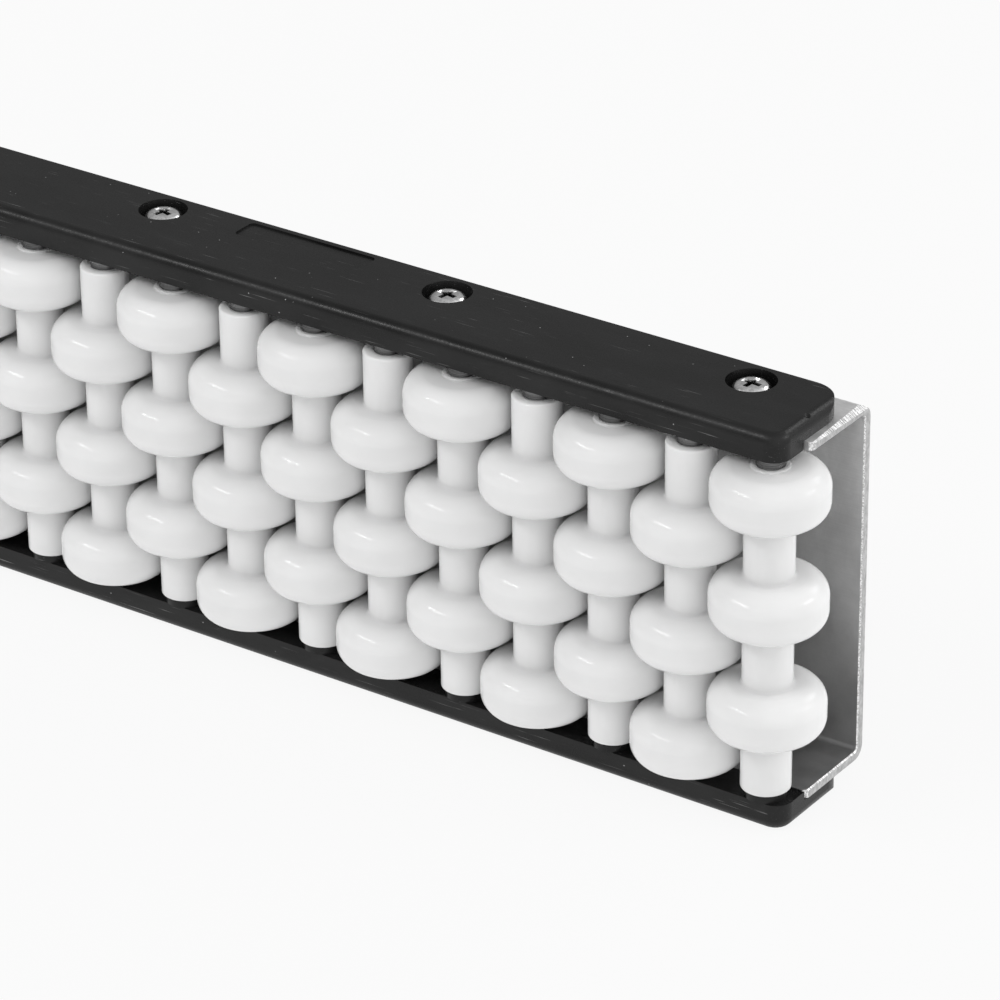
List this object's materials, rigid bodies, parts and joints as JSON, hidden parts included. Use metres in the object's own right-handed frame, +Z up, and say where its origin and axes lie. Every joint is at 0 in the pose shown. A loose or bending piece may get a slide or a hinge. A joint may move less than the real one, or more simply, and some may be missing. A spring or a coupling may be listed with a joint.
{
  "type": "side guide roller",
  "caption": "Straight conveyor side guide: a row of nested white bead rollers turning on upright pins between two black rails that are screwed to a bent steel channel.",
  "frame": {"origin": "middle of the web's flat back face", "axes": "+Y out of the back face towards the conveyor's side frame, so the rollers face -Y; +X along the row towards the end nearest in the picture; +Z up, along the roller pins, towards the rail with the bare recess"},
  "size_m": [0.367, 0.0402, 0.0916],
  "materials": {
    "stainless_sheet": "satin",
    "black_rail": "fine satin grain",
    "white_roller": "gloss",
    "pin_steel": "ground",
    "screw_steel": "bright",
    "washer_plastic": "satin"
  },
  "bodies": {
    "frame": {"channel": "stainless_sheet", "top_rail": "black_rail", "bottom_rail": "black_rail", "pin_01": "pin_steel", "pin_02": "pin_steel", "pin_03": "pin_steel", "pin_04": "pin_steel", "pin_05": "pin_steel", "pin_06": "pin_steel", "pin_07": "pin_steel", "pin_08": "pin_steel", "pin_09": "pin_steel", "pin_10": "pin_steel", "pin_11": "pin_steel", "pin_12": "pin_steel", "pin_13": "pin_steel", "pin_14": "pin_steel", "pin_15": "pin_steel", "pin_16": "pin_steel", "pin_17": "pin_steel", "pin_18": "pin_steel", "pin_19": "pin_steel", "thrust_washers": "washer_plastic", "top_rail_screws": "screw_steel", "bottom_rail_screws": "screw_steel"},
    "roller_01": {"roller_01": "white_roller"},
    "roller_02": {"roller_02": "white_roller"},
    "roller_03": {"roller_03": "white_roller"},
    "roller_04": {"roller_04": "white_roller"},
    "roller_05": {"roller_05": "white_roller"},
    "roller_06": {"roller_06": "white_roller"},
    "roller_07": {"roller_07": "white_roller"},
    "roller_08": {"roller_08": "white_roller"},
    "roller_09": {"roller_09": "white_roller"},
    "roller_10": {"roller_10": "white_roller"},
    "roller_11": {"roller_11": "white_roller"},
    "roller_12": {"roller_12": "white_roller"},
    "roller_13": {"roller_13": "white_roller"},
    "roller_14": {"roller_14": "white_roller"},
    "roller_15": {"roller_15": "white_roller"},
    "roller_16": {"roller_16": "white_roller"},
    "roller_17": {"roller_17": "white_roller"},
    "roller_18": {"roller_18": "white_roller"},
    "roller_19": {"roller_19": "white_roller"}
  },
  "joints": [
    {"name": "roller_01_turn", "type": "hinge", "parent": "frame", "child": "roller_01", "pos_m": [0.171, -0.0277, 0], "axis": [0, 0, 1], "continuous": true},
    {"name": "roller_02_turn", "type": "hinge", "parent": "frame", "child": "roller_02", "pos_m": [0.152, -0.0277, 0], "axis": [0, 0, 1], "continuous": true},
    {"name": "roller_03_turn", "type": "hinge", "parent": "frame", "child": "roller_03", "pos_m": [0.133, -0.0277, 0], "axis": [0, 0, 1], "continuous": true},
    {"name": "roller_04_turn", "type": "hinge", "parent": "frame", "child": "roller_04", "pos_m": [0.114, -0.0277, 0], "axis": [0, 0, 1], "continuous": true},
    {"name": "roller_05_turn", "type": "hinge", "parent": "frame", "child": "roller_05", "pos_m": [0.095, -0.0277, 0], "axis": [0, 0, 1], "continuous": true},
    {"name": "roller_06_turn", "type": "hinge", "parent": "frame", "child": "roller_06", "pos_m": [0.076, -0.0277, 0], "axis": [0, 0, 1], "continuous": true},
    {"name": "roller_07_turn", "type": "hinge", "parent": "frame", "child": "roller_07", "pos_m": [0.057, -0.0277, 0], "axis": [0, 0, 1], "continuous": true},
    {"name": "roller_08_turn", "type": "hinge", "parent": "frame", "child": "roller_08", "pos_m": [0.038, -0.0277, 0], "axis": [0, 0, 1], "continuous": true},
    {"name": "roller_09_turn", "type": "hinge", "parent": "frame", "child": "roller_09", "pos_m": [0.019, -0.0277, 0], "axis": [0, 0, 1], "continuous": true},
    {"name": "roller_10_turn", "type": "hinge", "parent": "frame", "child": "roller_10", "pos_m": [0, -0.0277, 0], "axis": [0, 0, 1], "continuous": true},
    {"name": "roller_11_turn", "type": "hinge", "parent": "frame", "child": "roller_11", "pos_m": [-0.019, -0.0277, 0], "axis": [0, 0, 1], "continuous": true},
    {"name": "roller_12_turn", "type": "hinge", "parent": "frame", "child": "roller_12", "pos_m": [-0.038, -0.0277, 0], "axis": [0, 0, 1], "continuous": true},
    {"name": "roller_13_turn", "type": "hinge", "parent": "frame", "child": "roller_13", "pos_m": [-0.057, -0.0277, 0], "axis": [0, 0, 1], "continuous": true},
    {"name": "roller_14_turn", "type": "hinge", "parent": "frame", "child": "roller_14", "pos_m": [-0.076, -0.0277, 0], "axis": [0, 0, 1], "continuous": true},
    {"name": "roller_15_turn", "type": "hinge", "parent": "frame", "child": "roller_15", "pos_m": [-0.095, -0.0277, 0], "axis": [0, 0, 1], "continuous": true},
    {"name": "roller_16_turn", "type": "hinge", "parent": "frame", "child": "roller_16", "pos_m": [-0.114, -0.0277, 0], "axis": [0, 0, 1], "continuous": true},
    {"name": "roller_17_turn", "type": "hinge", "parent": "frame", "child": "roller_17", "pos_m": [-0.133, -0.0277, 0], "axis": [0, 0, 1], "continuous": true},
    {"name": "roller_18_turn", "type": "hinge", "parent": "frame", "child": "roller_18", "pos_m": [-0.152, -0.0277, 0], "axis": [0, 0, 1], "continuous": true},
    {"name": "roller_19_turn", "type": "hinge", "parent": "frame", "child": "roller_19", "pos_m": [-0.171, -0.0277, 0], "axis": [0, 0, 1], "continuous": true}
  ]
}
